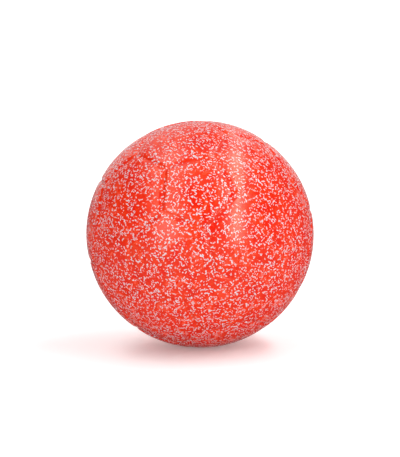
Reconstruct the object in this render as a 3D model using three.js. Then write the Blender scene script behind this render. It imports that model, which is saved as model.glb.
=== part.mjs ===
// A ball of flecked rubber for a dog: a cover of 12 five-sided and 20 six-sided panels,
// cemented on a hollow core that is moulded in two halves with a lapped rim.
// Millimetres, +Z up, origin at the middle of the ball.
import * as THREE from "three";

// Driving sizes
const BALL_DIAMETER = 70;
const PANEL_THICKNESS = 3;
const CROWN_FALL = 0.15; // how far a panel's dome falls from its middle to its seams
const SEAM_DEPTH = 0.25; // how far the bevelled rim falls below the dome
const SEAM_HALF_WIDTH = 1.9; // from the line of a seam to the start of the bevel
const CORNER_RADIUS = 1.6; // a panel's corners where its bevel starts, seen square on
const SEAM_CORNER_RADIUS = 0.3; // the same corners at the bottom of the seams
const SEAM_GAP = 0.3; // between two panels, at their inner edges
const CEMENT_GAP = 0.3; // between a panel and the core
const CORE_WALL = 4;
const RIM_LAP = 3; // how far the upper half's tongue reaches into the lower half
const RIM_GAP = 0.3; // between the two halves, all along their rims

// How finely the round surfaces are cut into facets
const CROWN_SHARES = [0.4, 0.72]; // rings on a panel's dome, as shares of its outline
const BEVEL_SHARES = [1, 0.5]; // rings on its bevel, as shares of the seam's half width
const INNER_SHARE = 0.5; // the ring on its inner face
const CORNER_STEPS = 2;
const CORE_STEPS = 8;
const CORE_SECTORS = 32;

// The seam net is a truncated icosahedron's: with seams of length 2 its corners lie this far out.
const GOLDEN_RATIO = (1 + Math.sqrt(5)) / 2;
const NET_RADIUS = Math.sqrt(1 + 9 * GOLDEN_RATIO ** 2);

// Angles at the middle of the ball, from a panel's middle to its corners and to its sides
const cornerAngle = (sides) => Math.asin(1 / (Math.sin(Math.PI / sides) * NET_RADIUS));
const sideAngle = (sides) => Math.atan(Math.tan(cornerAngle(sides)) * Math.cos(Math.PI / sides));
const seamAngle = 2 * Math.asin(1 / NET_RADIUS);

const ballRadius = BALL_DIAMETER / 2;
const innerFaceRadius = ballRadius - PANEL_THICKNESS;
// The inner face's flat facets dip below its points, and the core stays clear of them.
const facetDip = innerFaceRadius * (1 - Math.cos(cornerAngle(6) / 3));
const coreRadius = innerFaceRadius - facetDip - CEMENT_GAP;
const coreInnerRadius = coreRadius - CORE_WALL;

const fleckedRubber = new THREE.MeshStandardMaterial({
  color: 0xf0563f,
  roughness: 0.45,
  metalness: 0,
});
const plainRubber = new THREE.MeshStandardMaterial({
  color: 0xa8281a,
  roughness: 0.7,
  metalness: 0,
});

// A panel's outline on the plane that touches a ball of radius 1 at the panel's middle.
// Seen from the ball's middle, straight lines there are great circles, so the sides are straight.
function panelOutline(sides, firstCorner, cornerRadius) {
  const halfTurn = Math.PI / sides;
  const cornerReach = Math.tan(cornerAngle(sides));
  const sideReach = Math.tan(sideAngle(sides));
  const rounding = cornerRadius / ballRadius;
  const roundingReach = cornerReach - rounding / Math.cos(halfTurn);
  const points = [];
  for (let side = 0; side < sides; side += 1) {
    const corner = firstCorner + 2 * halfTurn * side;
    const roundingMiddle = new THREE.Vector2(roundingReach, 0).rotateAround(new THREE.Vector2(), corner);
    for (let step = 0; step <= CORNER_STEPS; step += 1) {
      const turn = corner + halfTurn * ((2 * step) / CORNER_STEPS - 1);
      const reach = new THREE.Vector2(rounding, 0).rotateAround(new THREE.Vector2(), turn);
      points.push(reach.add(roundingMiddle));
    }
    const sideTurn = corner + halfTurn;
    points.push(new THREE.Vector2(sideReach, 0).rotateAround(new THREE.Vector2(), sideTurn));
  }
  return points;
}

// A closed solid through rings of equal length, from one middle point to the other
function loft(firstPoint, rings, lastPoint) {
  const count = rings[0].length;
  const points = [firstPoint, ...rings.flat(), lastPoint];
  const last = points.length - 1;
  const faces = [];
  for (let i = 0; i < count; i += 1) {
    const next = (i + 1) % count;
    faces.push(0, 1 + i, 1 + next);
    for (let ring = 0; ring < rings.length - 1; ring += 1) {
      const near = 1 + ring * count;
      const far = near + count;
      faces.push(near + i, far + i, far + next);
      faces.push(near + i, far + next, near + next);
    }
    const near = 1 + (rings.length - 1) * count;
    faces.push(near + i, last, near + next);
  }
  const geometry = new THREE.BufferGeometry().setFromPoints(points);
  geometry.setIndex(faces);
  geometry.computeVertexNormals();
  return geometry;
}

// A panel with its middle on +Z: a shallow dome, a bevelled rim whose corners sharpen towards
// the seams, a side wall that points at the ball's middle and a hollow inner face that seats on the core.
function panelGeometry(sides, firstCorner) {
  const reach = sideAngle(sides);
  const shareAt = (inset) => Math.tan(reach - inset / ballRadius) / Math.tan(reach);
  const domeRadius = (share) => ballRadius - CROWN_FALL * share ** 3;
  const bevelFall = (inset) => SEAM_DEPTH * Math.cos((Math.PI / 2) * (inset / SEAM_HALF_WIDTH)) ** 2;
  const ringAt = (share, radius, cornerRadius) =>
    panelOutline(sides, firstCorner, cornerRadius).map(({ x, y }) =>
      new THREE.Vector3(x * share, y * share, 1).setLength(radius),
    );

  const crownRings = CROWN_SHARES.map((share) => ringAt(share, domeRadius(share), CORNER_RADIUS));
  const wallInset = (SEAM_GAP / 2) * (ballRadius / innerFaceRadius);
  const bevelInsets = [...BEVEL_SHARES.map((share) => share * SEAM_HALF_WIDTH), wallInset];
  const bevelRings = bevelInsets.map((inset) => {
    const share = shareAt(inset);
    const roundness = (inset - wallInset) / (SEAM_HALF_WIDTH - wallInset);
    const cornerRadius = THREE.MathUtils.lerp(SEAM_CORNER_RADIUS, CORNER_RADIUS, roundness);
    return ringAt(share, domeRadius(share) - bevelFall(inset), cornerRadius);
  });
  const wallFoot = ringAt(shareAt(wallInset), innerFaceRadius, SEAM_CORNER_RADIUS);
  const innerRing = ringAt(INNER_SHARE, innerFaceRadius, SEAM_CORNER_RADIUS);
  return loft(
    new THREE.Vector3(0, 0, ballRadius),
    [...crownRings, ...bevelRings, wallFoot, innerRing],
    new THREE.Vector3(0, 0, innerFaceRadius),
  );
}

// Where the panels lie, from the pole down. A tilt is measured from the pole, and a negative one
// leans to the far side of the turn, which points a corner at the pole instead of away from it.
const hexagonTilt = sideAngle(5) + sideAngle(6);
const beltTilt = hexagonTilt + 2 * sideAngle(6);
const pentagonTilt = 2 * cornerAngle(5) + seamAngle;
const fifthTurn = (2 * Math.PI) / 5;
const tenthTurn = fifthTurn / 2;
const panelRings = [
  { name: "pentagon_top", sides: 5, count: 1, tilt: 0, turn: tenthTurn },
  { name: "hexagon_top", sides: 6, count: 5, tilt: hexagonTilt, turn: 0 },
  { name: "pentagon_upper", sides: 5, count: 5, tilt: -pentagonTilt, turn: 0 },
  { name: "hexagon_upper", sides: 6, count: 5, tilt: beltTilt, turn: 0 },
  { name: "hexagon_lower", sides: 6, count: 5, tilt: Math.PI - beltTilt, turn: tenthTurn },
  { name: "pentagon_lower", sides: 5, count: 5, tilt: Math.PI - pentagonTilt, turn: 0 },
  { name: "hexagon_bottom", sides: 6, count: 5, tilt: Math.PI - hexagonTilt, turn: tenthTurn },
  { name: "pentagon_bottom", sides: 5, count: 1, tilt: Math.PI, turn: tenthTurn },
];

function panelCover() {
  const geometries = {
    5: panelGeometry(5, 0), // a corner on +X
    6: panelGeometry(6, Math.PI / 6), // a side on +X
  };
  const cover = new THREE.Group();
  for (const { name, sides, count, tilt, turn } of panelRings) {
    for (let i = 0; i < count; i += 1) {
      const panel = new THREE.Mesh(geometries[sides], fleckedRubber);
      panel.name = count > 1 ? `${name}_${i + 1}` : name;
      panel.rotation.set(0, tilt, turn + i * fifthTurn, "ZYX");
      cover.add(panel);
    }
  }
  // The ball lies on the three panels round a corner of the net, so a corner points straight down.
  cover.rotation.y = cornerAngle(5);
  return cover;
}

// An arc of the core's section, from one height to another
function sectionArc(radius, fromHeight, toHeight) {
  const from = Math.asin(fromHeight / radius);
  const to = Math.asin(toHeight / radius);
  return new THREE.ArcCurve(0, 0, radius, from, to, to < from).getPoints(CORE_STEPS);
}

function coreHalf(name, section) {
  const geometry = new THREE.LatheGeometry(section, CORE_SECTORS).rotateX(Math.PI / 2);
  const half = new THREE.Mesh(geometry, plainRubber);
  half.name = name;
  return half;
}

// The hollow core: the upper half's tongue seats inside the lower half's rim.
function core() {
  const lapRadius = coreRadius - CORE_WALL / 2;
  const tongueRadius = lapRadius - RIM_GAP / 2;
  const socketRadius = lapRadius + RIM_GAP / 2;
  const socketFloor = -RIM_LAP - RIM_GAP;
  const upperSection = [
    ...sectionArc(coreInnerRadius, coreInnerRadius, -RIM_LAP),
    new THREE.Vector2(tongueRadius, -RIM_LAP),
    new THREE.Vector2(tongueRadius, RIM_GAP / 2),
    ...sectionArc(coreRadius, RIM_GAP / 2, coreRadius),
  ];
  const lowerSection = [
    ...sectionArc(coreRadius, -coreRadius, -RIM_GAP / 2),
    new THREE.Vector2(socketRadius, -RIM_GAP / 2),
    new THREE.Vector2(socketRadius, socketFloor),
    ...sectionArc(coreInnerRadius, socketFloor, -coreInnerRadius),
  ];
  const halves = new THREE.Group();
  halves.add(coreHalf("core_upper_half", upperSection), coreHalf("core_lower_half", lowerSection));
  return halves;
}

const ball = new THREE.Group();
ball.add(panelCover(), core());

export default ball;
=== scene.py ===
# %% [markdown]
# # A flecked rubber dog ball
# The ball is covered like a football: 12 five-sided and 20 six-sided rubber panels, cemented edge to
# edge on a hollow core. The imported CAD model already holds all 34 pieces at their real size. This
# lesson keeps its frame, gives every panel a smooth dome with a soft rim, and mixes the rubber that
# is full of short pale flecks.

# %% Load the CAD frame
import math

import bpy
from mathutils import Matrix, Vector


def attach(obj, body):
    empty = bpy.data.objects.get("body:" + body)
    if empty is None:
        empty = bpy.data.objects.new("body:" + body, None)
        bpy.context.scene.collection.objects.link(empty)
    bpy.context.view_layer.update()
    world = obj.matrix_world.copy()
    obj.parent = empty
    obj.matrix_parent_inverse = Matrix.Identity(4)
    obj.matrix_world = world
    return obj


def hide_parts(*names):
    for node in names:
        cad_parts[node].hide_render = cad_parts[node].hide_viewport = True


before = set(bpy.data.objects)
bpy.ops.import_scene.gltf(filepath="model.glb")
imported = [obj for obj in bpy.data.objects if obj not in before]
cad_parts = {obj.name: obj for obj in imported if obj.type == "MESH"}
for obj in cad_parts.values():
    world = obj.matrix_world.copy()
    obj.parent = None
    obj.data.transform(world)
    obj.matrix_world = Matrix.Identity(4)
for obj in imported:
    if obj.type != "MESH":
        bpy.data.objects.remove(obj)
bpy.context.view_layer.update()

MILLIMETRE = 0.001


# %% [markdown]
# ## What the CAD model tells
# Everything that follows is measured from the CAD panels, so that the dressed ball can't drift from
# the solid one. On a panel, the point that lies farthest from the ball's middle is the top of its
# dome, and the point that leans farthest away from that top is one of its corners. Those two
# directions say exactly how the panel lies.

# %% Measure the panels
panel_nodes = sorted(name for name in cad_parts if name.startswith(("pentagon", "hexagon")))
core_nodes = sorted(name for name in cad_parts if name.startswith("core"))


def panel_points(node):
    return [vertex.co.copy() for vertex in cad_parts[node].data.vertices]


def panel_lie(node):
    """The directions, from the ball's middle, of a panel's own middle and of one of its corners."""
    points = panel_points(node)
    middle = max(points, key=lambda point: point.length).normalized()
    corner = max(points, key=lambda point: middle.angle(point))
    corner = (corner - middle * corner.dot(middle)).normalized()
    return middle, corner


distances = [point.length for node in panel_nodes for point in panel_points(node)]
ball_radius = max(distances)
inner_radius = min(distances)
print(len(panel_nodes), "panels and", len(core_nodes), "core halves")
print(f"ball radius {ball_radius / MILLIMETRE:.2f} mm, inner face {inner_radius / MILLIMETRE:.2f} mm")

# %% [markdown]
# ## The net of seams
# The seams form the net of a truncated icosahedron, the solid behind the classic football. With seams
# of length 2, its corners lie a known distance from the middle, and that one number gives the angle
# from a panel's middle to its corners and to its sides.

# %% Work out the net's angles
GOLDEN_RATIO = (1 + math.sqrt(5)) / 2
NET_RADIUS = math.sqrt(1 + 9 * GOLDEN_RATIO**2)


def corner_angle(sides):
    return math.asin(1 / (math.sin(math.pi / sides) * NET_RADIUS))


def side_angle(sides):
    return math.atan(math.tan(corner_angle(sides)) * math.cos(math.pi / sides))


for sides in (5, 6):
    corner_degrees = math.degrees(corner_angle(sides))
    side_degrees = math.degrees(side_angle(sides))
    print(f"{sides} sides: corners at {corner_degrees:.2f} degrees, sides at {side_degrees:.2f}")

# %% [markdown]
# ## Arithmetic with nodes
# Geometry and shader trees both grow long when they hold a formula, because each plus sign is a node.
# A small class lets the script write the formula as usual: a Wire stands for one output of a node, and
# adding or multiplying wires adds the Math nodes to the tree.

# %% A helper for node trees
def feed(socket, value):
    """Connects a wire to an input, or sets the input to a plain value."""
    if isinstance(value, Wire):
        value.tree.links.new(value.socket, socket)
    else:
        socket.default_value = value


def add_node(tree, kind, settings=None, inputs=None):
    """A new node with its settings and inputs, which are found by name or by number."""
    node = tree.nodes.new(kind)
    for name, value in (settings or {}).items():
        setattr(node, name, value)
    for key, value in (inputs or {}).items():
        feed(node.inputs[key], value)
    return node


class Wire:
    """One output of a node. Its sums and products are new nodes in the same tree."""

    def __init__(self, node, output=0):
        self.tree = node.id_data
        self.socket = node.outputs[output]

    def math(self, operation, *values):
        inputs = dict(enumerate((self, *values)))
        return Wire(add_node(self.tree, "ShaderNodeMath", {"operation": operation}, inputs))

    def vector_math(self, operation, *values):
        inputs = dict(enumerate((self, *values)))
        node = add_node(self.tree, "ShaderNodeVectorMath", {"operation": operation}, inputs)
        return Wire(node, "Value" if operation in ("DOT_PRODUCT", "LENGTH") else "Vector")

    def scaled(self, factor):
        inputs = {0: self, "Scale": factor}
        node = add_node(self.tree, "ShaderNodeVectorMath", {"operation": "SCALE"}, inputs)
        return Wire(node, "Vector")

    def clamped(self):
        return Wire(add_node(self.tree, "ShaderNodeClamp", inputs={"Value": self}))

    def one_over(self):
        return self.math("POWER", -1.0)

    def __add__(self, other):
        return self.math("ADD", other)

    def __sub__(self, other):
        return self.math("SUBTRACT", other)

    def __mul__(self, other):
        return self.math("MULTIPLY", other)

    def __truediv__(self, other):
        return self.math("DIVIDE", other)


print("node helper ready")

# %% [markdown]
# ## The tree that makes a panel
# All 32 panels follow one rule, so one Geometry Nodes tree makes them all, with the sizes as inputs. A
# panel could also be cut from a sphere with a boolean, but then its rim would have no clean rows for
# the soft bevel. Here a flat grid is rolled up instead: its columns go round the panel's outline, and
# its rows run from the top of the dome, over the bevel, down the side wall and back to the middle of
# the inner face.

# %% Start the tree and name its inputs
panel_tree = bpy.data.node_groups.new("ball panel", "GeometryNodeTree")
panel_tree.interface.new_socket("Panel", in_out="OUTPUT", socket_type="NodeSocketGeometry")
PANEL_INPUTS = {
    "Sides": "NodeSocketInt",
    "Corner Reach": "NodeSocketFloat",
    "Side Angle": "NodeSocketFloat",
    "Corner Radius": "NodeSocketFloat",
    "Ball Radius": "NodeSocketFloat",
    "Inner Radius": "NodeSocketFloat",
    "Crown Fall": "NodeSocketFloat",
    "Seam Depth": "NodeSocketFloat",
    "Seam Half Width": "NodeSocketFloat",
    "Seam Gap": "NodeSocketFloat",
    "Unevenness": "NodeSocketFloat",
    "Hollow Width": "NodeSocketFloat",
    "Middle": "NodeSocketVector",
    "Corner": "NodeSocketVector",
    "Columns": "NodeSocketInt",
    "Crown Rows": "NodeSocketInt",
    "Bevel Rows": "NodeSocketInt",
    "Wall Rows": "NodeSocketInt",
    "Inner Rows": "NodeSocketInt",
    "Rubber": "NodeSocketMaterial",
}
for name, kind in PANEL_INPUTS.items():
    panel_tree.interface.new_socket(name, in_out="INPUT", socket_type=kind)
panel_entry = panel_tree.nodes.new("NodeGroupInput")


def panel_input(name):
    return Wire(panel_entry, name)


print(len(PANEL_INPUTS), "inputs")

# %% [markdown]
# The outline is drawn on the plane that touches a ball of radius 1 at the panel's middle. Seen from the
# ball's middle, straight lines on that plane are great circles, so the panel's sides are straight there.
# The dome ends in round corners, which a Fillet makes, but at the bottom of the seams three panels meet
# in sharp corners, with no hole between them. So the tree draws both outlines.

# %% Draw the sharp and the round outline
FILLET_POINTS = 8

sharp_outline = add_node(panel_tree, "GeometryNodeCurvePrimitiveCircle", inputs={
    "Resolution": panel_input("Sides"),
    "Radius": panel_input("Corner Reach"),
})
rounding = panel_input("Corner Radius") / panel_input("Ball Radius")
round_outline = add_node(panel_tree, "GeometryNodeFilletCurve", {"mode": "POLY"}, {
    "Curve": Wire(sharp_outline),
    "Count": FILLET_POINTS,
    "Radius": rounding,
})
outline_length = add_node(panel_tree, "GeometryNodeCurveLength", inputs={"Curve": Wire(round_outline)})
print("outlines ready")

# %% [markdown]
# The grid has its middle at the origin, so half a side is added to count from its first column and its
# first row. Both outlines are sampled at the same share of the way round. The Fillet starts half a
# corner's arc too early, and its samples are shifted by that much.

# %% Roll a grid round the outlines
GRID_SIDE = 1.0

rows = (
    panel_input("Crown Rows") + panel_input("Bevel Rows")
    + panel_input("Wall Rows") + panel_input("Inner Rows")
)
flat_grid = add_node(panel_tree, "GeometryNodeMeshGrid", inputs={
    "Size X": GRID_SIDE,
    "Size Y": GRID_SIDE,
    "Vertices X": panel_input("Columns") + 1,
    "Vertices Y": rows + 1,
})
grid_place = add_node(panel_tree, "ShaderNodeSeparateXYZ", inputs={
    0: Wire(panel_tree.nodes.new("GeometryNodeInputPosition")),
})
way_round = Wire(grid_place, "X") + GRID_SIDE / 2
row = (Wire(grid_place, "Y") + GRID_SIDE / 2) * rows
half_arc = rounding * math.pi / panel_input("Sides") / Wire(outline_length)
sharp_sample = add_node(panel_tree, "GeometryNodeSampleCurve", {"mode": "FACTOR"}, {
    "Curves": Wire(sharp_outline),
    "Factor": way_round,
})
round_sample = add_node(panel_tree, "GeometryNodeSampleCurve", {"mode": "FACTOR"}, {
    "Curves": Wire(round_outline),
    "Factor": (way_round + half_arc).math("FRACT"),
})
print("grid ready")

# %% [markdown]
# Each group of rows has a share that goes from 0 to 1 across it. The crown's rows spread from the middle
# to the start of the bevel. The bevel dives towards the seam in a cosine, as a moulded soft edge does.
# The wall goes straight at the ball's middle, and the last rows close the inner face. The dome falls
# slowly at first and faster near its seams, which is what the power does.

# %% Shape the dome, the bevel, the wall and the inner face
DOME_POWER = 3.0
QUARTER_TURN = math.pi / 2

bevel_start = panel_input("Crown Rows")
wall_start = bevel_start + panel_input("Bevel Rows")
inner_start = wall_start + panel_input("Wall Rows")
crown_share = (row / bevel_start).clamped()
bevel_share = ((row - bevel_start) / panel_input("Bevel Rows")).clamped()
wall_share = ((row - wall_start) / panel_input("Wall Rows")).clamped()
inner_share = ((row - inner_start) / panel_input("Inner Rows")).clamped()

half_width = panel_input("Seam Half Width")
rim_inset = panel_input("Seam Gap") * 0.5
inset = half_width - bevel_share * (half_width - rim_inset)
rim_angle = panel_input("Side Angle") - inset / panel_input("Ball Radius")
outer_share = crown_share * rim_angle.math("TANGENT") / panel_input("Side Angle").math("TANGENT")
spread = outer_share - outer_share * inner_share

dome_fall = panel_input("Crown Fall") * outer_share.math("POWER", DOME_POWER)
bevel_slope = (inset / half_width * QUARTER_TURN).math("COSINE")
bevel_fall = panel_input("Seam Depth") * bevel_slope * bevel_slope
outer_radius = panel_input("Ball Radius") - dome_fall - bevel_fall
print("profile ready")

# %% [markdown]
# The point on the plane becomes a direction from the ball's middle, turned to where this panel lies.
# Hand-laid rubber is never a perfect sphere, so a slow noise lets the outer face sink by a few
# hundredths of a millimetre, which breaks up the highlights.

# %% Turn the panel to its place
HOLLOW_DETAIL = 1.0

sharp_point = Wire(sharp_sample, "Position")
round_point = Wire(round_sample, "Position")
sharpening = sharp_point.vector_math("SUBTRACT", round_point).scaled(bevel_share)
outline_point = add_node(panel_tree, "ShaderNodeSeparateXYZ", inputs={
    0: round_point.vector_math("ADD", sharpening),
})
middle = panel_input("Middle")
corner = panel_input("Corner")
sideways = middle.vector_math("CROSS_PRODUCT", corner)
along_corner = corner.scaled(Wire(outline_point, "X") * spread)
along_side = sideways.scaled(Wire(outline_point, "Y") * spread)
plane_point = middle.vector_math("ADD", along_corner).vector_math("ADD", along_side)
direction = plane_point.vector_math("NORMALIZE")

hollows = add_node(panel_tree, "ShaderNodeTexNoise", inputs={
    "Vector": direction.scaled(panel_input("Ball Radius") / panel_input("Hollow Width")),
    "Scale": 1.0,
    "Detail": HOLLOW_DETAIL,
})
uneven_radius = outer_radius - panel_input("Unevenness") * Wire(hollows)
radius = uneven_radius - (uneven_radius - panel_input("Inner Radius")) * wall_share
rolled = add_node(panel_tree, "GeometryNodeSetPosition", inputs={
    "Geometry": Wire(flat_grid),
    "Position": direction.scaled(radius),
})
print("panel rolled")

# %% [markdown]
# Merge by Distance closes the rolled grid into one skin. Rolled this way, its faces look inward, so Flip
# Faces turns them out. Smooth shading suits the dome, but it would smear the sharp edge between the bevel
# and the wall, so edges that bend this much stay hard. The tree ends with Realize Instances and Set
# Material, because an export takes plain meshes only.

# %% Close the panel's skin
WELD_DISTANCE = 0.001 * MILLIMETRE
RIM_EDGE_ANGLE = math.radians(45)

welded = add_node(panel_tree, "GeometryNodeMergeByDistance", inputs={
    "Geometry": Wire(rolled),
    "Distance": WELD_DISTANCE,
})
outward_faces = add_node(panel_tree, "GeometryNodeFlipFaces", inputs={"Mesh": Wire(welded)})
edge_angle = Wire(panel_tree.nodes.new("GeometryNodeInputMeshEdgeAngle"), "Unsigned Angle")
hard_rim = add_node(panel_tree, "GeometryNodeSetShadeSmooth", {"domain": "EDGE"}, {
    "Geometry": Wire(outward_faces),
    "Selection": edge_angle.math("GREATER_THAN", RIM_EDGE_ANGLE),
    "Shade Smooth": False,
})
smooth = add_node(panel_tree, "GeometryNodeSetShadeSmooth", inputs={"Geometry": Wire(hard_rim)})
real = add_node(panel_tree, "GeometryNodeRealizeInstances", inputs={"Geometry": Wire(smooth)})
coloured = add_node(panel_tree, "GeometryNodeSetMaterial", inputs={
    "Geometry": Wire(real),
    "Material": panel_input("Rubber"),
})
add_node(panel_tree, "NodeGroupOutput", inputs={"Panel": Wire(coloured)})
print(len(panel_tree.nodes), "nodes in the panel's tree")

# %% [markdown]
# ## Rubber grain, shared by both rubbers
# Moulded rubber has a skin with a very fine tooth, and the mixing mill leaves slow drifts of colour in
# it. The panels and the core are both rubber, so this is one shader group with its own values in each
# material. Noise stays near its middle value, so the drift is stretched to run from 0 to 1.

# %% Build the grain group
TOOTH_DETAIL = 3.0
TOOTH_BREAKUP = 0.6
DRIFT_DETAIL = 2.0
DRIFT_SWIRL = 0.6
DRIFT_LOW = 0.35
DRIFT_HIGH = 0.65


def shader_group(name, inputs, outputs):
    """A new shader group with its sockets, and the node that its inputs come from."""
    tree = bpy.data.node_groups.new(name, "ShaderNodeTree")
    for socket, kind in inputs.items():
        tree.interface.new_socket(socket, in_out="INPUT", socket_type=kind)
    for socket, kind in outputs.items():
        tree.interface.new_socket(socket, in_out="OUTPUT", socket_type=kind)
    return tree, tree.nodes.new("NodeGroupInput")


grain_tree, grain_entry = shader_group(
    "rubber grain",
    {"Place": "NodeSocketVector", "Tooth": "NodeSocketFloat", "Drift": "NodeSocketFloat"},
    {"Height": "NodeSocketFloat", "Mottle": "NodeSocketFloat"},
)
tooth = add_node(grain_tree, "ShaderNodeTexNoise", inputs={
    "Vector": Wire(grain_entry, "Place"),
    "Scale": Wire(grain_entry, "Tooth").one_over(),
    "Detail": TOOTH_DETAIL,
    "Roughness": TOOTH_BREAKUP,
})
drift = add_node(grain_tree, "ShaderNodeTexNoise", inputs={
    "Vector": Wire(grain_entry, "Place"),
    "Scale": Wire(grain_entry, "Drift").one_over(),
    "Detail": DRIFT_DETAIL,
    "Distortion": DRIFT_SWIRL,
})
mottle = add_node(grain_tree, "ShaderNodeMapRange", inputs={
    "Value": Wire(drift),
    "From Min": DRIFT_LOW,
    "From Max": DRIFT_HIGH,
})
add_node(grain_tree, "NodeGroupOutput", inputs={"Height": Wire(tooth), "Mottle": Wire(mottle)})
print("grain group:", len(grain_tree.nodes), "nodes")

# %% [markdown]
# ## One layer of flecks
# The flecks are chopped bits of pale rubber, stirred into the red before moulding and pressed flat
# against the mould, so most lie along the surface. A Voronoi texture scatters one middle into each cell.
# The cell's random colour, less the middle colour, is a random direction. It also makes some flecks
# longer or wider than others.

# %% Scatter the flecks
MIDDLE_COLOUR = (0.5, 0.5, 0.5)
SHIFT_WAY = (1.0, -2.0, 3.0)
LEAST_WIDTH = 0.75
WIDTH_SPREAD = 0.5

fleck_tree, fleck_entry = shader_group(
    "fleck layer",
    {
        "Place": "NodeSocketVector",
        "Cell": "NodeSocketFloat",
        "Width": "NodeSocketFloat",
        "Length": "NodeSocketFloat",
        "Flatness": "NodeSocketFloat",
        "Softness": "NodeSocketFloat",
        "Shift": "NodeSocketFloat",
    },
    {"Mask": "NodeSocketFloat"},
)
place = Wire(fleck_entry, "Place")
shift = add_node(fleck_tree, "ShaderNodeVectorMath", {"operation": "SCALE"}, {
    0: SHIFT_WAY,
    "Scale": Wire(fleck_entry, "Shift"),
})
shifted = place.vector_math("ADD", Wire(shift))
scatter = add_node(fleck_tree, "ShaderNodeTexVoronoi", inputs={
    "Vector": shifted,
    "Scale": Wire(fleck_entry, "Cell").one_over(),
})
chance = add_node(fleck_tree, "ShaderNodeSeparateColor", inputs={0: Wire(scatter, "Color")})
outward = place.vector_math("NORMALIZE")
lean = Wire(scatter, "Color").vector_math("SUBTRACT", MIDDLE_COLOUR)
rod = outward.vector_math("CROSS_PRODUCT", lean).vector_math("NORMALIZE")
half_length = Wire(fleck_entry, "Length") * Wire(chance, "Green") * 0.5
breadth = Wire(fleck_entry, "Width") * (Wire(chance, "Red") * WIDTH_SPREAD + LEAST_WIDTH)
print("flecks scattered")

# %% [markdown]
# The distance to a short line in that direction gives a rod with round ends, cut by the surface just as
# a real fleck is. Flatness takes away a share of the distance that is measured straight out of the ball,
# so a fleck just under the skin still reaches it.

# %% Draw each fleck round its middle
offset = shifted.vector_math("SUBTRACT", Wire(scatter, "Position"))
along = offset.vector_math("DOT_PRODUCT", rod)
nearest = along.math("MINIMUM", half_length).math("MAXIMUM", half_length * -1.0)
across = offset.vector_math("SUBTRACT", rod.scaled(nearest))
rise = across.vector_math("DOT_PRODUCT", outward)
pressed = across.vector_math("SUBTRACT", outward.scaled(rise * Wire(fleck_entry, "Flatness")))
distance = pressed.vector_math("LENGTH")
edge = Wire(fleck_entry, "Softness")
mask = add_node(fleck_tree, "ShaderNodeMapRange", {"interpolation_type": "SMOOTHSTEP"}, {
    "Value": distance,
    "From Min": breadth * 0.5 + edge,
    "From Max": breadth * 0.5 - edge,
})
add_node(fleck_tree, "NodeGroupOutput", inputs={"Mask": Wire(mask)})
print("fleck group:", len(fleck_tree.nodes), "nodes")

# %% [markdown]
# ## Start a rubber material
# Both rubbers start alike: a Principled shader, Object coordinates, the grain group and a Bump node for
# its tooth. Object coordinates suit a ball that was cut from one mixed sheet, because the pattern then
# runs through the solid and needs no unwrapping.

# %% A helper for both rubbers
class Rubber:
    """A material with its grain in place, ready for colours."""

    def __init__(self, name, tooth, drift, tooth_depth):
        self.material = bpy.data.materials.new(name)
        self.material.use_nodes = True
        self.tree = self.material.node_tree
        self.shader = self.tree.nodes["Principled BSDF"]
        self.place = Wire(self.tree.nodes.new("ShaderNodeTexCoord"), "Object")
        grain = self.group(grain_tree, {"Place": self.place, "Tooth": tooth, "Drift": drift})
        self.height = Wire(grain, "Height")
        self.mottle = Wire(grain, "Mottle")
        self.bump = add_node(self.tree, "ShaderNodeBump", inputs={"Distance": tooth_depth})
        feed(self.shader.inputs["Normal"], Wire(self.bump))
        feed(self.bump.inputs["Height"], self.height)

    def group(self, tree, inputs):
        node = self.tree.nodes.new("ShaderNodeGroup")
        node.node_tree = tree
        for name, value in inputs.items():
            feed(node.inputs[name], value)
        return node

    def mix(self, share, first, second):
        """A colour between two others."""
        inputs = {"Factor": share, "A": first, "B": second}
        node = self.tree.nodes.new("ShaderNodeMix")
        node.data_type = "RGBA"
        for name, value in inputs.items():
            socket = next(s for s in node.inputs if s.name == name and s.enabled)
            feed(socket, value)
        return Wire(node, next(i for i, s in enumerate(node.outputs) if s.enabled))


print("rubber helper ready")

# %% [markdown]
# ## The flecks in the cover's rubber
# Three layers of flecks lie over each other, each one the same group with its pattern shifted. A slow
# warp bends the rods, because soft rubber flows in the mould.

# %% Bend and lay the flecks
FLECK_CELL = 1.11 * MILLIMETRE
FLECK_WIDTH = 0.276 * MILLIMETRE
FLECK_LENGTH = 0.645 * MILLIMETRE
FLECK_EDGE = 0.035 * MILLIMETRE
FLECK_FLATNESS = 0.55
FLECK_LAYERS = 3
LAYER_SHIFT = 37 * MILLIMETRE
WARP_SIZE = 1.6 * MILLIMETRE
WARP_REACH = 0.5 * MILLIMETRE
WARP_DETAIL = 0.0

flecked = Rubber(
    "flecked rubber",
    tooth=0.35 * MILLIMETRE,
    drift=4 * MILLIMETRE,
    tooth_depth=0.003 * MILLIMETRE,
)
warp = add_node(flecked.tree, "ShaderNodeTexNoise", inputs={
    "Vector": flecked.place,
    "Scale": 1 / WARP_SIZE,
    "Detail": WARP_DETAIL,
})
bend = Wire(warp, "Color").vector_math("SUBTRACT", MIDDLE_COLOUR).scaled(WARP_REACH)
bent_place = flecked.place.vector_math("ADD", bend)


def fleck_mask(place, softness, layers):
    """Several layers of flecks, laid over each other."""
    mask = None
    for layer in layers:
        node = flecked.group(fleck_tree, {
            "Place": place,
            "Cell": FLECK_CELL,
            "Width": FLECK_WIDTH,
            "Length": FLECK_LENGTH,
            "Flatness": FLECK_FLATNESS,
            "Softness": softness,
            "Shift": layer * LAYER_SHIFT,
        })
        mask = mask.math("MAXIMUM", Wire(node)) if mask else Wire(node)
    return mask


flecks = fleck_mask(bent_place, FLECK_EDGE, range(1, FLECK_LAYERS + 1))
print(FLECK_LAYERS, "layers of flecks")

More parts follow.
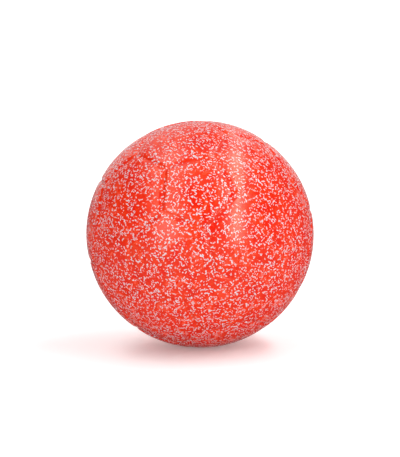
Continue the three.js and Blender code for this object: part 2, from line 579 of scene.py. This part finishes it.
# %% [markdown]
# ## The colours of the cover
# The red is a saturated orange-red with slow drifts. The flecks are a cool, slightly lilac white. Rubber
# is a little translucent, so flecks that lie just under the skin still show, fainter and softer: the same
# group, read a little nearer to the ball's middle, gives them.

# %% Colour the flecked rubber
DEEP_RED = (0.77, 0.009, 0.0004, 1)
ORANGE_RED = (0.85, 0.031, 0.002, 1)
FLECK_WHITE = (0.66, 0.655, 0.715, 1)
SUNKEN_PINK = (0.80, 0.15, 0.015, 1)
SUNKEN_DEPTH = 0.7 * MILLIMETRE
SUNKEN_EDGE = 0.16 * MILLIMETRE
SUNKEN_SHARE = 0.22

deeper_place = bent_place.scaled(1 - SUNKEN_DEPTH / ball_radius)
sunken_flecks = fleck_mask(deeper_place, SUNKEN_EDGE, range(1, FLECK_LAYERS))
red = flecked.mix(flecked.mottle, DEEP_RED, ORANGE_RED)
red = flecked.mix(sunken_flecks * SUNKEN_SHARE, red, SUNKEN_PINK)
feed(flecked.shader.inputs["Base Color"], flecked.mix(flecks, red, FLECK_WHITE))
print("flecked rubber:", len(flecked.tree.nodes), "nodes")

# %% [markdown]
# ## The satin skin
# The mould leaves a satin skin. The flecks stand up by a hair and shine a little less than the red, as
# bits of another rubber would. Towards the outline the red pales, as rubber with a faint bloom does, and
# a little sheen gives that. A slightly warm tint keeps the white gloss from turning the red pink.

# %% Finish the flecked rubber
SKIN_ROUGHNESS = 0.22
MOTTLE_ROUGHNESS = 0.06
FLECK_ROUGHNESS = 0.1
FLECK_RISE = 0.4
GLOSS_LEVEL = 0.85
GLOSS_TINT = (1, 1, 0.8, 1)
SHEEN_WEIGHT = 0.25
SHEEN_ROUGHNESS = 0.25

skin_roughness = flecked.mottle * MOTTLE_ROUGHNESS + flecks * FLECK_ROUGHNESS + SKIN_ROUGHNESS
feed(flecked.shader.inputs["Roughness"], skin_roughness)
feed(flecked.bump.inputs["Height"], flecked.height + flecks * FLECK_RISE)
flecked.shader.inputs["Specular IOR Level"].default_value = GLOSS_LEVEL
flecked.shader.inputs["Specular Tint"].default_value = GLOSS_TINT
flecked.shader.inputs["Sheen Weight"].default_value = SHEEN_WEIGHT
flecked.shader.inputs["Sheen Roughness"].default_value = SHEEN_ROUGHNESS
print("skin roughness from", SKIN_ROUGHNESS)

# %% [markdown]
# ## The plain rubber of the core
# The core sits under the cover and shows only when the ball is taken apart. It is the same red without
# flecks, duller and darker, because it never touched a polished mould.

# %% Mix the core's rubber
CORE_DARK_RED = (0.30, 0.016, 0.008, 1)
CORE_RED = (0.42, 0.026, 0.012, 1)
CORE_ROUGHNESS = 0.62
CORE_MOTTLE_ROUGHNESS = 0.12

core_rubber = Rubber(
    "core rubber",
    tooth=0.6 * MILLIMETRE,
    drift=9 * MILLIMETRE,
    tooth_depth=0.05 * MILLIMETRE,
)
core_colour = core_rubber.mix(core_rubber.mottle, CORE_DARK_RED, CORE_RED)
core_roughness = core_rubber.mottle * CORE_MOTTLE_ROUGHNESS + CORE_ROUGHNESS
feed(core_rubber.shader.inputs["Base Color"], core_colour)
feed(core_rubber.shader.inputs["Roughness"], core_roughness)

for node in core_nodes:
    core_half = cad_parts[node]
    core_half.data.materials.clear()
    core_half.data.materials.append(core_rubber.material)
print("core halves keep their CAD shape and get", core_rubber.material.name)

# %% [markdown]
# ## Make the 32 panels
# Each panel is the tree, run once with the directions measured from its CAD node. The modifier's inputs
# are set by identifier, the result becomes a plain mesh, and only then does the panel ride on the body,
# while its CAD node is hidden. The grooves are kept narrow, because a wide bevel mirrors the lamps in a
# bright line along the seam.

# %% Run the tree for each panel
PANEL_SIZES = {
    "Corner Radius": 1.6 * MILLIMETRE,
    "Ball Radius": ball_radius,
    "Inner Radius": inner_radius,
    "Crown Fall": 0.15 * MILLIMETRE,
    "Seam Depth": 0.3 * MILLIMETRE,
    "Seam Half Width": 1.2 * MILLIMETRE,
    "Seam Gap": 0.02 * MILLIMETRE,
    "Unevenness": 0.05 * MILLIMETRE,
    "Hollow Width": 6 * MILLIMETRE,
    "Crown Rows": 16,
    "Bevel Rows": 10,
    "Wall Rows": 4,
    "Inner Rows": 6,
    "Rubber": flecked.material,
}
COLUMNS_PER_SIDE = 22


def add_object(name, data):
    """A new object in the scene."""
    added = bpy.data.objects.new(name, data)
    bpy.context.scene.collection.objects.link(added)
    return added


def make_panel(node):
    sides = 5 if node.startswith("pentagon") else 6
    middle, corner = panel_lie(node)
    values = PANEL_SIZES | {
        "Sides": sides,
        "Corner Reach": math.tan(corner_angle(sides)),
        "Side Angle": side_angle(sides),
        "Middle": middle,
        "Corner": corner,
        "Columns": COLUMNS_PER_SIDE * sides,
    }
    panel = add_object(f"cover_{node}", bpy.data.meshes.new(f"cover_{node}"))
    modifier = panel.modifiers.new("ball panel", "NODES")
    modifier.node_group = panel_tree
    for socket in panel_tree.interface.items_tree:
        if socket.in_out == "INPUT":
            modifier[socket.identifier] = values[socket.name]
    graph = bpy.context.evaluated_depsgraph_get()
    panel_mesh = bpy.data.meshes.new_from_object(panel.evaluated_get(graph))
    panel.modifiers.remove(modifier)
    panel.data = panel_mesh
    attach(panel, "root")
    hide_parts(node)
    return panel


panels = [make_panel(node) for node in panel_nodes]
faces = sum(len(panel.data.polygons) for panel in panels)
print(len(panels), "panels,", faces, "faces")

# %% [markdown]
# ## Where the camera stands
# The photograph looks at the ball from a little above its middle and leans by about a degree. Three
# angles give the picture's own directions: towards the camera, up and right. The lamps need them too,
# because they are placed by where their highlights sit in the picture.

# %% Find the picture's directions
CAMERA_AZIMUTH = math.radians(-5.09)
CAMERA_ELEVATION = math.radians(8.24)
CAMERA_ROLL = math.radians(1.27)

to_camera = Vector((
    math.sin(CAMERA_AZIMUTH) * math.cos(CAMERA_ELEVATION),
    -math.cos(CAMERA_AZIMUTH) * math.cos(CAMERA_ELEVATION),
    math.sin(CAMERA_ELEVATION),
))
level_right = Vector((0, 0, 1)).cross(to_camera).normalized()
level_up = to_camera.cross(level_right)
picture_up = level_up * math.cos(CAMERA_ROLL) + level_right * math.sin(CAMERA_ROLL)
picture_right = picture_up.cross(to_camera)
print("towards the camera:", [round(share, 3) for share in to_camera])

# %% [markdown]
# The photograph was taken from far away, so the outline is almost that of a drawing. The camera is aimed
# slightly above the ball's middle, because the ball sits a little low in the picture, and the ball's
# width in the picture sets the lens.

# %% Set up the camera
IMAGE_HEIGHT = 457
BALL_RADIUS_PIXELS = 113.9
BALL_BELOW_MIDDLE_PIXELS = 5.5
CAMERA_DISTANCE = 27 * ball_radius
SENSOR_WIDTH = 36.0


def axes_turn(x_axis, y_axis, z_axis):
    """The turn that brings the three axes of an object to these directions."""
    return Matrix((x_axis, y_axis, z_axis)).transposed().to_quaternion()


aim = picture_up * (ball_radius * BALL_BELOW_MIDDLE_PIXELS / BALL_RADIUS_PIXELS)
limb_reach = ball_radius / math.sqrt(CAMERA_DISTANCE**2 - ball_radius**2)
camera_data = bpy.data.cameras.new("camera")
camera_data.sensor_width = SENSOR_WIDTH
camera_data.lens = BALL_RADIUS_PIXELS / IMAGE_HEIGHT * SENSOR_WIDTH / limb_reach
camera = add_object("camera", camera_data)
camera.location = aim + to_camera * CAMERA_DISTANCE
camera.rotation_mode = "QUATERNION"
camera.rotation_quaternion = axes_turn(picture_right, picture_up, to_camera)
bpy.context.scene.camera = camera
print(f"lens {camera_data.lens:.1f} mm at {CAMERA_DISTANCE:.3f} m")

# %% [markdown]
# ## The floor
# The ball lies on a wide pale floor that also serves as the background. A floor in a studio is matt, and
# the ball doesn't mirror it here, because the photograph shows no pale band along the ball's underside.

# %% Lay the floor
FLOOR_HALF_SIZE = 6.0
FLOOR_SIGNS = ((-1, -1), (1, -1), (1, 1), (-1, 1))

lowest = min(vertex.co.z for panel in panels for vertex in panel.data.vertices)
floor_corners = [(x * FLOOR_HALF_SIZE, y * FLOOR_HALF_SIZE, lowest) for x, y in FLOOR_SIGNS]
floor_mesh = bpy.data.meshes.new("floor")
floor_mesh.from_pydata(floor_corners, [], [(0, 1, 2, 3)])
floor = add_object("floor", floor_mesh)
floor.visible_glossy = False
print(f"floor at {lowest / MILLIMETRE:.2f} mm")

# %% [markdown]
# A studio sweep is lit evenly up to its far end, so the paint glows a little, faintly under the ball,
# where its shadow falls, and fully a metre away. The distance from the ball's middle sets the glow, so
# the floor looks the same from all sides.

# %% Paint the floor
WHITE = (1, 1, 1, 1)
FLOOR_WHITE = (0.92, 0.92, 0.92, 1)
FLOOR_ROUGHNESS = 0.9
FLOOR_GLOSS = 0.0
NEAR_GLOW = 0.18
FAR_GLOW = 1.0
GLOW_START = 0.2
GLOW_FULL = 1.0

floor_paint = bpy.data.materials.new("pale floor")
floor_paint.use_nodes = True
floor_shader = floor_paint.node_tree.nodes["Principled BSDF"]
floor_shader.inputs["Base Color"].default_value = FLOOR_WHITE
floor_shader.inputs["Roughness"].default_value = FLOOR_ROUGHNESS
floor_shader.inputs["Specular IOR Level"].default_value = FLOOR_GLOSS
floor_shader.inputs["Emission Color"].default_value = WHITE
floor_place = Wire(floor_paint.node_tree.nodes.new("ShaderNodeTexCoord"), "Object")
glow = add_node(floor_paint.node_tree, "ShaderNodeMapRange", {"interpolation_type": "SMOOTHSTEP"}, {
    "Value": floor_place.vector_math("LENGTH"),
    "From Min": GLOW_START,
    "From Max": GLOW_FULL,
    "To Min": NEAR_GLOW,
    "To Max": FAR_GLOW,
})
feed(floor_shader.inputs["Emission Strength"], Wire(glow))
floor_mesh.materials.append(floor_paint)
print("floor glows from", NEAR_GLOW, "to", FAR_GLOW)

# %% [markdown]
# ## The two highlights
# The photograph shows two soft upright highlights. A highlight sits where the ball mirrors a lamp to the
# camera, so each lamp is placed by the highlight that it makes. Four strip lamps on each side follow one
# highlight from the ball's middle to its top, and a small step up the highlight shows how each is turned.

# %% Place a lamp by its highlight
def hang_lamp(name, place, turn, size, watts):
    data = bpy.data.lights.new(name, "AREA")
    data.shape = "RECTANGLE"
    data.size, data.size_y = size
    data.energy = watts
    lamp = add_object(name, data)
    lamp.location = place
    lamp.rotation_mode = "QUATERNION"
    lamp.rotation_quaternion = turn
    lamp.visible_camera = False
    return lamp


def mirrored_direction(across, up):
    """Where a lamp must be to show at this place on the ball, in ball radii from its middle."""
    towards = math.sqrt(1 - across**2 - up**2)
    normal = picture_right * across + picture_up * up + to_camera * towards
    return 2 * towards * normal - to_camera


print("lamp helpers ready")

# %% [markdown]
# A lamp that lights the ball brightly enough would also mirror too brightly, most of all along the edge
# of the ball when it is seen from behind. So each strip has a twin close behind it. The gloss mirrors
# only the strip, and the twin, which is kept out of the gloss, gives the rest of the light. It stands a
# little farther off, so it gets a little more power.

# %% Hang the strip lamps
LAMP_DISTANCE = 1.3
TWIN_DISTANCE = 1.35
GLOSS_SHARE = 0.55
STRIP_LENGTH = 0.7
STRIP_HEIGHTS = (0.08, 0.36, 0.61, 0.81)
HEIGHT_STEP = 0.01
LEFT_STRIP = {"across": -0.28, "width": 0.6, "watts": (4.4, 2.4, 3.4, 1.3)}
RIGHT_STRIP = {"across": 0.31, "width": 0.24, "watts": (4.8, 4.6, 4.4, 1.4)}


def hang_strip(name, across, width, watts):
    size = (width, STRIP_LENGTH)
    for number, (up, lamp_watts) in enumerate(zip(STRIP_HEIGHTS, watts), 1):
        direction = mirrored_direction(across, up)
        upwards = mirrored_direction(across, up + HEIGHT_STEP) - direction
        sideways = upwards.cross(direction).normalized()
        turn = axes_turn(sideways, direction.cross(sideways), direction)
        glossy_watts = lamp_watts * GLOSS_SHARE
        plain_watts = (lamp_watts - glossy_watts) * (TWIN_DISTANCE / LAMP_DISTANCE) ** 2
        hang_lamp(f"{name} {number}", direction * LAMP_DISTANCE, turn, size, glossy_watts)
        twin = hang_lamp(f"{name} {number} twin", direction * TWIN_DISTANCE, turn, size, plain_watts)
        twin.visible_glossy = False


hang_strip("left strip", **LEFT_STRIP)
hang_strip("right strip", **RIGHT_STRIP)
print(2 * len(STRIP_HEIGHTS), "strip lamps, each with a twin")

# %% [markdown]
# ## Soft boxes round the ball
# A box above lights the ball's top, and a wide pale screen behind it gives the outline its thin bright
# edge. Four more boxes fill the top, the sides and the back, so that the ball is lit well from all
# sides. They are kept out of the gloss, because the photograph shows no third highlight.

# %% Hang the soft boxes
SOFT_BOXES = {
    "top box": {"place": (0, -0.2, 1.6), "size": (1.6, 1.6), "watts": 1.8},
    "back screen": {"place": (0, 1.8, 0.6), "size": (2.6, 1.2), "watts": 4.8},
}
FILL_BOXES = {
    "top fill": {"place": (0, -0.2, 1.65), "size": (1.6, 1.6), "watts": 1.5},
    "right fill": {"place": (1.7, 0.5, 0.6), "size": (1.2, 1.2), "watts": 5.5},
    "back fill": {"place": (0, 1.8, 0.9), "size": (1.6, 1.2), "watts": 14.0},
    "left fill": {"place": (-1.7, 0.5, 0.6), "size": (1.2, 1.2), "watts": 0.5},
}


def hang_soft_box(name, place, size, watts):
    turn = Vector(place).to_track_quat("Z", "Y")
    return hang_lamp(name, place, turn, size, watts)


for name, box in SOFT_BOXES.items():
    hang_soft_box(name, **box)
for name, box in FILL_BOXES.items():
    hang_soft_box(name, **box).visible_glossy = False
print(len(SOFT_BOXES) + len(FILL_BOXES), "soft boxes")

# %% [markdown]
# ## The room
# A little light from all round keeps the grooves from going black. To the camera the room is white, like
# the floor, so a low view shows no dark horizon. The Light Path node tells the camera's own rays from
# the light's.

# %% Light the room
ROOM_LIGHT = 0.03
ROOM_WHITE = 1.0

room = bpy.data.worlds.new("room")
room.use_nodes = True
bpy.context.scene.world = room
room_light = room.node_tree.nodes["Background"]
room_light.inputs["Color"].default_value = WHITE
seen = Wire(room.node_tree.nodes.new("ShaderNodeLightPath"), "Is Camera Ray")
feed(room_light.inputs["Strength"], seen * (ROOM_WHITE - ROOM_LIGHT) + ROOM_LIGHT)
bpy.context.scene.view_settings.view_transform = "Standard"
print("room light", ROOM_LIGHT)
